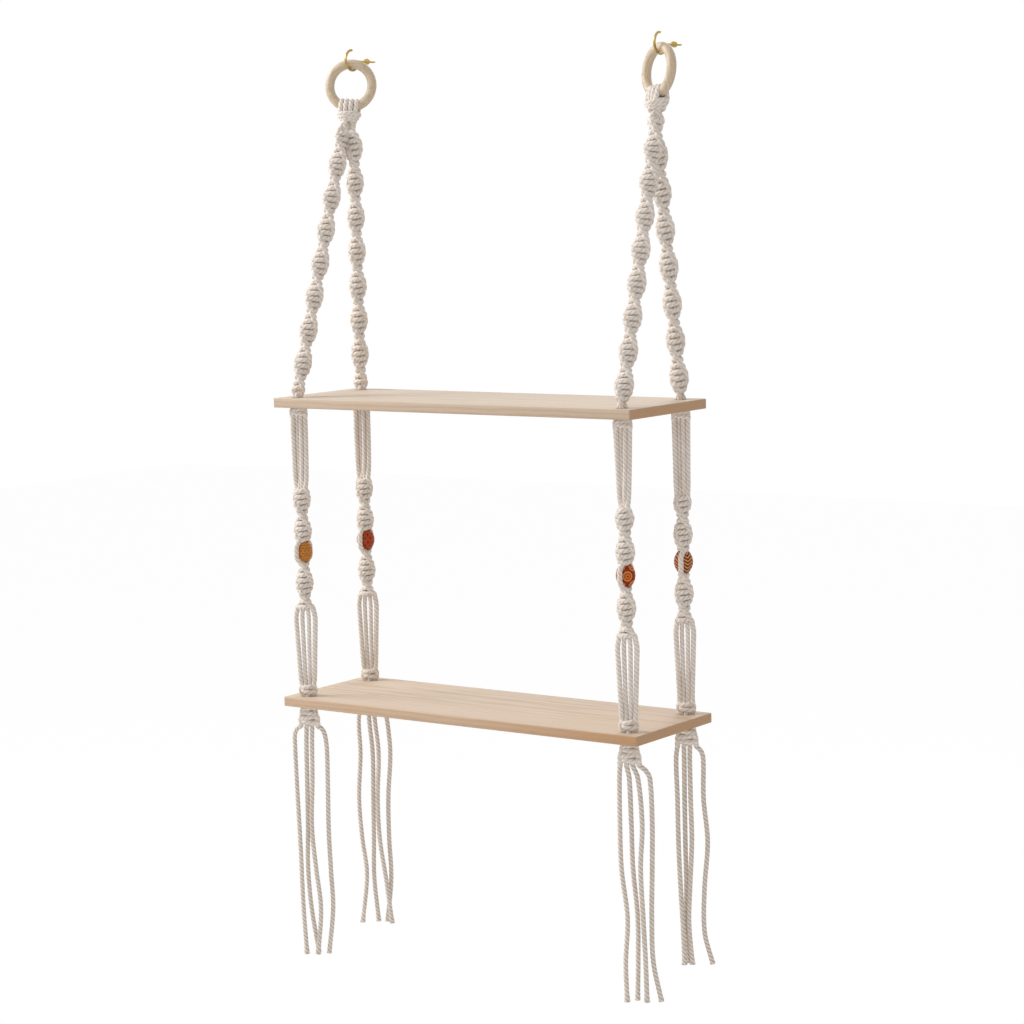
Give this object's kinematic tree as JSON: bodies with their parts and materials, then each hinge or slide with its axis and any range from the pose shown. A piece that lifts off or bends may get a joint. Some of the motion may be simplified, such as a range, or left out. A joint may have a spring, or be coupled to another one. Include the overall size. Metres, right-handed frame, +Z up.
{
  "type": "hanging rope shelf",
  "caption": "Hanging wall shelf: pale wooden boards on knotted cotton cord legs with wooden beads, hung by wooden rings from brass cup hooks.",
  "frame": {"origin": "on the wall, midway between the two hooks, at the height of their shanks", "axes": "+X along the wall to the right as seen from the room, +Y into the wall, +Z up"},
  "size_m": [0.4563, 0.154, 0.9679],
  "materials": {
    "brass": "polished, slightly dulled",
    "ring_wood": "turned beech, sanded, unvarnished",
    "pine": "planed pale pine, matt",
    "cotton_cord": "natural cotton cord, matt",
    "front_left_bead": "printed and varnished wood",
    "back_left_bead": "printed and varnished wood",
    "front_right_bead": "printed and varnished wood",
    "back_right_bead": "printed and varnished wood"
  },
  "bodies": {
    "wall_hooks": {"left_cup_hook": "brass", "right_cup_hook": "brass"},
    "left_ring": {"left_wood_ring": "ring_wood", "left_ring_hitch": "cotton_cord", "left_gathering_wrap": "cotton_cord"},
    "left_sling": {"front_left_upper_sinnet": "cotton_cord", "back_left_upper_sinnet": "cotton_cord"},
    "right_ring": {"right_wood_ring": "ring_wood", "right_ring_hitch": "cotton_cord", "right_gathering_wrap": "cotton_cord"},
    "right_sling": {"front_right_upper_sinnet": "cotton_cord", "back_right_upper_sinnet": "cotton_cord"},
    "upper_shelf": {"upper_board": "pine", "front_left_stop_knot": "cotton_cord", "back_left_stop_knot": "cotton_cord", "front_right_stop_knot": "cotton_cord", "back_right_stop_knot": "cotton_cord"},
    "left_drops": {"front_left_drop_strands": "cotton_cord", "front_left_bead_spiral": "cotton_cord", "front_left_low_spiral": "cotton_cord", "front_left_flared_strands": "cotton_cord", "back_left_drop_strands": "cotton_cord", "back_left_bead_spiral": "cotton_cord", "back_left_low_spiral": "cotton_cord", "back_left_flared_strands": "cotton_cord"},
    "right_drops": {"front_right_drop_strands": "cotton_cord", "front_right_bead_spiral": "cotton_cord", "front_right_low_spiral": "cotton_cord", "front_right_flared_strands": "cotton_cord", "back_right_drop_strands": "cotton_cord", "back_right_bead_spiral": "cotton_cord", "back_right_low_spiral": "cotton_cord", "back_right_flared_strands": "cotton_cord"},
    "lower_shelf": {"lower_board": "pine", "front_left_tail_knot": "cotton_cord", "back_left_tail_knot": "cotton_cord", "front_right_tail_knot": "cotton_cord", "back_right_tail_knot": "cotton_cord", "front_left_tail_1": "cotton_cord", "front_left_tail_2": "cotton_cord", "front_left_tail_3": "cotton_cord", "front_left_tail_4": "cotton_cord", "back_left_tail_1": "cotton_cord", "back_left_tail_2": "cotton_cord", "back_left_tail_3": "cotton_cord", "back_left_tail_4": "cotton_cord", "front_right_tail_1": "cotton_cord", "front_right_tail_2": "cotton_cord", "front_right_tail_3": "cotton_cord", "front_right_tail_4": "cotton_cord", "back_right_tail_1": "cotton_cord", "back_right_tail_2": "cotton_cord", "back_right_tail_3": "cotton_cord", "back_right_tail_4": "cotton_cord"},
    "front_left_bead": {"front_left_bead": "front_left_bead"},
    "back_left_bead": {"back_left_bead": "back_left_bead"},
    "front_right_bead": {"front_right_bead": "front_right_bead"},
    "back_right_bead": {"back_right_bead": "back_right_bead"}
  },
  "joints": [
    {"name": "swing_out", "type": "hinge", "parent": "wall_hooks", "child": "left_ring", "pos_m": [-0.195, -0.0265, -0.0031], "axis": [-1, 0, 0], "range_deg": [0, 20]},
    {"name": "right_swing_out", "type": "hinge", "parent": "wall_hooks", "child": "right_ring", "pos_m": [0.195, -0.0265, -0.0031], "axis": [-1, 0, 0], "range_deg": [0, 20]},
    {"name": "sway", "type": "hinge", "parent": "left_ring", "child": "left_sling", "pos_m": [-0.195, -0.03697, -0.07317], "axis": [0, 1, 0], "range_deg": [-8, 8]},
    {"name": "right_sway", "type": "hinge", "parent": "right_ring", "child": "right_sling", "pos_m": [0.195, -0.03697, -0.07317], "axis": [0, 1, 0], "range_deg": [-8, 8]},
    {"name": "upper_level", "type": "hinge", "parent": "left_sling", "child": "upper_shelf", "pos_m": [-0.205, -0.07, -0.34546], "axis": [0, 1, 0], "range_deg": [-8, 8]},
    {"name": "lower_sway", "type": "hinge", "parent": "upper_shelf", "child": "left_drops", "pos_m": [-0.205, -0.07, -0.37747], "axis": [0, 1, 0], "range_deg": [-8, 8]},
    {"name": "right_lower_sway", "type": "hinge", "parent": "upper_shelf", "child": "right_drops", "pos_m": [0.205, -0.07, -0.37747], "axis": [0, 1, 0], "range_deg": [-8, 8]},
    {"name": "lower_level", "type": "hinge", "parent": "left_drops", "child": "lower_shelf", "pos_m": [-0.205, -0.07, -0.66583], "axis": [0, 1, 0], "range_deg": [-8, 8]},
    {"name": "front_left_bead_spin", "type": "hinge", "parent": "left_drops", "child": "front_left_bead", "pos_m": [-0.205, -0.123, -0.51602], "axis": [0, 0, 1], "continuous": true},
    {"name": "back_left_bead_spin", "type": "hinge", "parent": "left_drops", "child": "back_left_bead", "pos_m": [-0.205, -0.017, -0.51602], "axis": [0, 0, 1], "continuous": true},
    {"name": "front_right_bead_spin", "type": "hinge", "parent": "right_drops", "child": "front_right_bead", "pos_m": [0.205, -0.123, -0.51602], "axis": [0, 0, 1], "continuous": true},
    {"name": "back_right_bead_spin", "type": "hinge", "parent": "right_drops", "child": "back_right_bead", "pos_m": [0.205, -0.017, -0.51602], "axis": [0, 0, 1], "continuous": true}
  ],
  "couplings": [
    {"joint": "right_swing_out", "follows": "swing_out", "ratio": 1},
    {"joint": "right_sway", "follows": "sway", "ratio": 1},
    {"joint": "upper_level", "follows": "sway", "ratio": -0.9512},
    {"joint": "right_lower_sway", "follows": "lower_sway", "ratio": 1},
    {"joint": "lower_level", "follows": "lower_sway", "ratio": -1}
  ]
}
